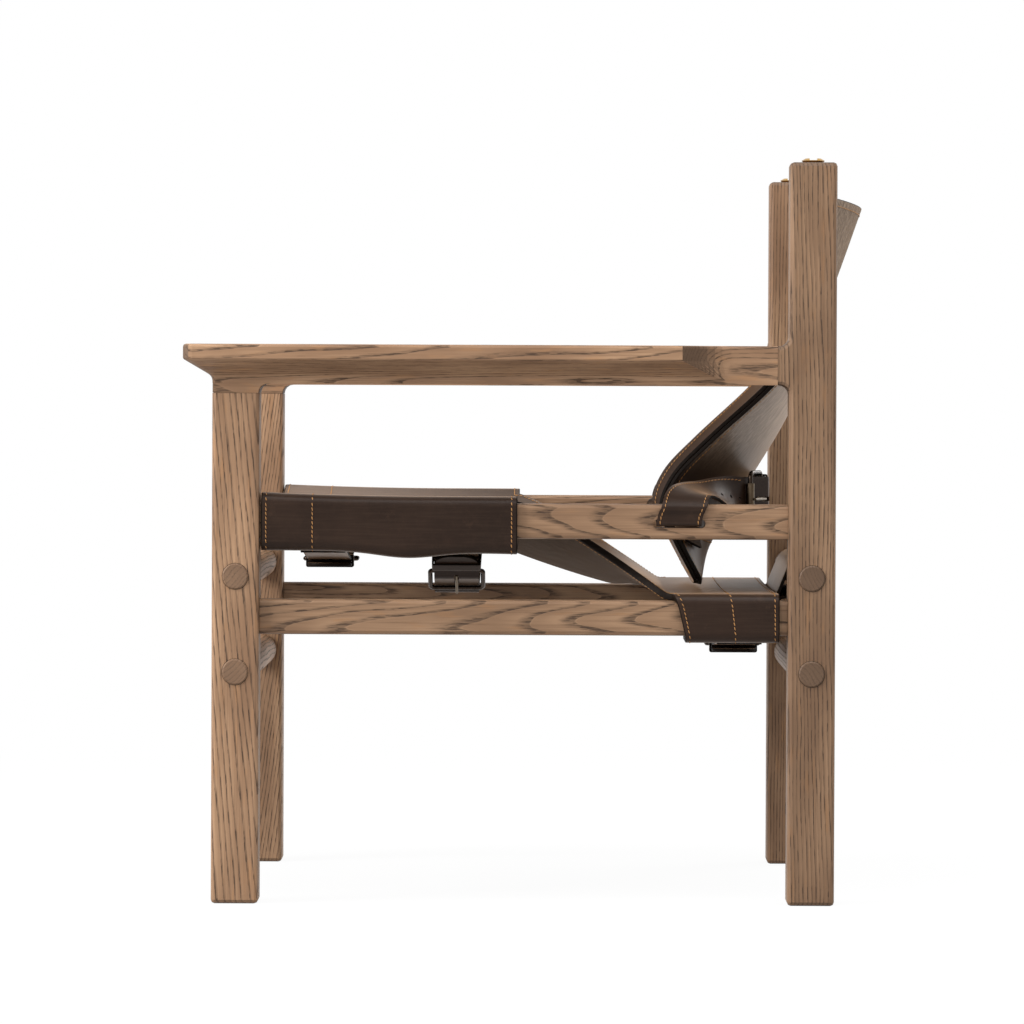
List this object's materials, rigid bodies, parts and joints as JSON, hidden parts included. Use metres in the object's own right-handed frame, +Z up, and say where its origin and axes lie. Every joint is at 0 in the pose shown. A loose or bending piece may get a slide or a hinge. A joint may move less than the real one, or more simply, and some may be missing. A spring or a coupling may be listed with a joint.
{
  "type": "easy chair",
  "caption": "Low easy chair with a square wooden frame, flat arms, leather seat and back slings, buckled straps and brass rods.",
  "frame": {"origin": "floor level under the middle of the bounding box", "axes": "+Z up; the sitter faces -Y; +X is the sitter's left"},
  "size_m": [0.7, 0.7328, 0.7937],
  "materials": {
    "ash": "grey-brown stained ash, oiled, open pores",
    "cross_bar_ash": "the same stain on round bars, whose end grain shows as pegs",
    "dowel_ash": "plain unstained wood inside the joints",
    "leather": "dark brown saddle leather, semi-gloss, black burnished edges",
    "brass": "polished",
    "gunmetal": "dark polished",
    "nickel": "bright"
  },
  "bodies": {
    "chair": {"arm_front_dowel_left_1": "dowel_ash", "arm_front_dowel_left_2": "dowel_ash", "arm_front_dowel_right_1": "dowel_ash", "arm_front_dowel_right_2": "dowel_ash", "arm_left": "ash", "arm_rear_dowel_left_1": "dowel_ash", "arm_rear_dowel_left_2": "dowel_ash", "arm_rear_dowel_right_1": "dowel_ash", "arm_rear_dowel_right_2": "dowel_ash", "arm_right": "ash", "back_belt": "leather", "back_left_buckle_frame": "gunmetal", "back_left_keeper": "leather", "back_lining": "leather", "back_post_left": "ash", "back_post_right": "ash", "back_right_buckle_frame": "gunmetal", "back_right_keeper": "leather", "back_sling": "leather", "back_strap_left": "leather", "back_strap_right": "leather", "front_leg_left": "ash", "front_leg_right": "ash", "front_lower_cross_bar": "cross_bar_ash", "front_upper_cross_bar": "cross_bar_ash", "lower_side_rail_left": "ash", "lower_side_rail_right": "ash", "rear_lower_cross_bar": "cross_bar_ash", "rear_upper_cross_bar": "cross_bar_ash", "seat_front_buckle_frame": "gunmetal", "seat_front_buckle_strap": "leather", "seat_front_keeper": "leather", "seat_front_tail_strap": "leather", "seat_middle_buckle_frame": "gunmetal", "seat_middle_buckle_strap": "leather", "seat_middle_keeper": "leather", "seat_middle_tail_strap": "leather", "seat_rear_buckle_frame": "gunmetal", "seat_rear_buckle_strap": "leather", "seat_rear_keeper": "leather", "seat_rear_loop": "leather", "seat_rear_tail_strap": "leather", "seat_sling": "leather", "upper_side_rail_left": "ash", "upper_side_rail_right": "ash"},
    "back_left_buckle_prong_body": {"back_left_buckle_prong": "nickel"},
    "back_left_buckle_roller_body": {"back_left_buckle_roller": "nickel"},
    "back_right_buckle_prong_body": {"back_right_buckle_prong": "nickel"},
    "back_right_buckle_roller_body": {"back_right_buckle_roller": "nickel"},
    "brass_rod_left_body": {"brass_rod_left": "brass"},
    "brass_rod_right_body": {"brass_rod_right": "brass"},
    "seat_front_buckle_prong_body": {"seat_front_buckle_prong": "nickel"},
    "seat_middle_buckle_prong_body": {"seat_middle_buckle_prong": "nickel"},
    "seat_rear_buckle_prong_body": {"seat_rear_buckle_prong": "nickel"}
  },
  "joints": [
    {"name": "rod_slide_left", "type": "slide", "parent": "chair", "child": "brass_rod_left_body", "axis": [0, 0, 1], "range_m": [0, 0.195]},
    {"name": "rod_slide_right", "type": "slide", "parent": "chair", "child": "brass_rod_right_body", "axis": [0, 0, 1], "range_m": [0, 0.195]},
    {"name": "seat_front_prong_hinge", "type": "hinge", "parent": "chair", "child": "seat_front_buckle_prong_body", "pos_m": [0.018, -0.22039, 0.3592], "axis": [0, -1, 0], "range_deg": [0, 40]},
    {"name": "seat_middle_prong_hinge", "type": "hinge", "parent": "chair", "child": "seat_middle_buckle_prong_body", "pos_m": [0.192, -0.07839, 0.3512], "axis": [0, -1, 0], "range_deg": [0, 40]},
    {"name": "seat_rear_prong_hinge", "type": "hinge", "parent": "chair", "child": "seat_rear_buckle_prong_body", "pos_m": [0.018, 0.22541, 0.2669], "axis": [0, -1, 0], "range_deg": [0, 40]},
    {"name": "back_left_prong_hinge", "type": "hinge", "parent": "chair", "child": "back_left_buckle_prong_body", "pos_m": [0.176, 0.25002, 0.43], "axis": [0, 0, 1], "range_deg": [0, 40]},
    {"name": "back_right_prong_hinge", "type": "hinge", "parent": "chair", "child": "back_right_buckle_prong_body", "pos_m": [-0.176, 0.25002, 0.43], "axis": [0, 0, -1], "range_deg": [0, 40]},
    {"name": "back_left_roller_turn", "type": "hinge", "parent": "chair", "child": "back_left_buckle_roller_body", "pos_m": [0.20795, 0.2384, 0.43], "axis": [0, 0, 1], "continuous": true},
    {"name": "back_right_roller_turn", "type": "hinge", "parent": "chair", "child": "back_right_buckle_roller_body", "pos_m": [-0.20795, 0.2384, 0.43], "axis": [0, 0, -1], "continuous": true}
  ]
}
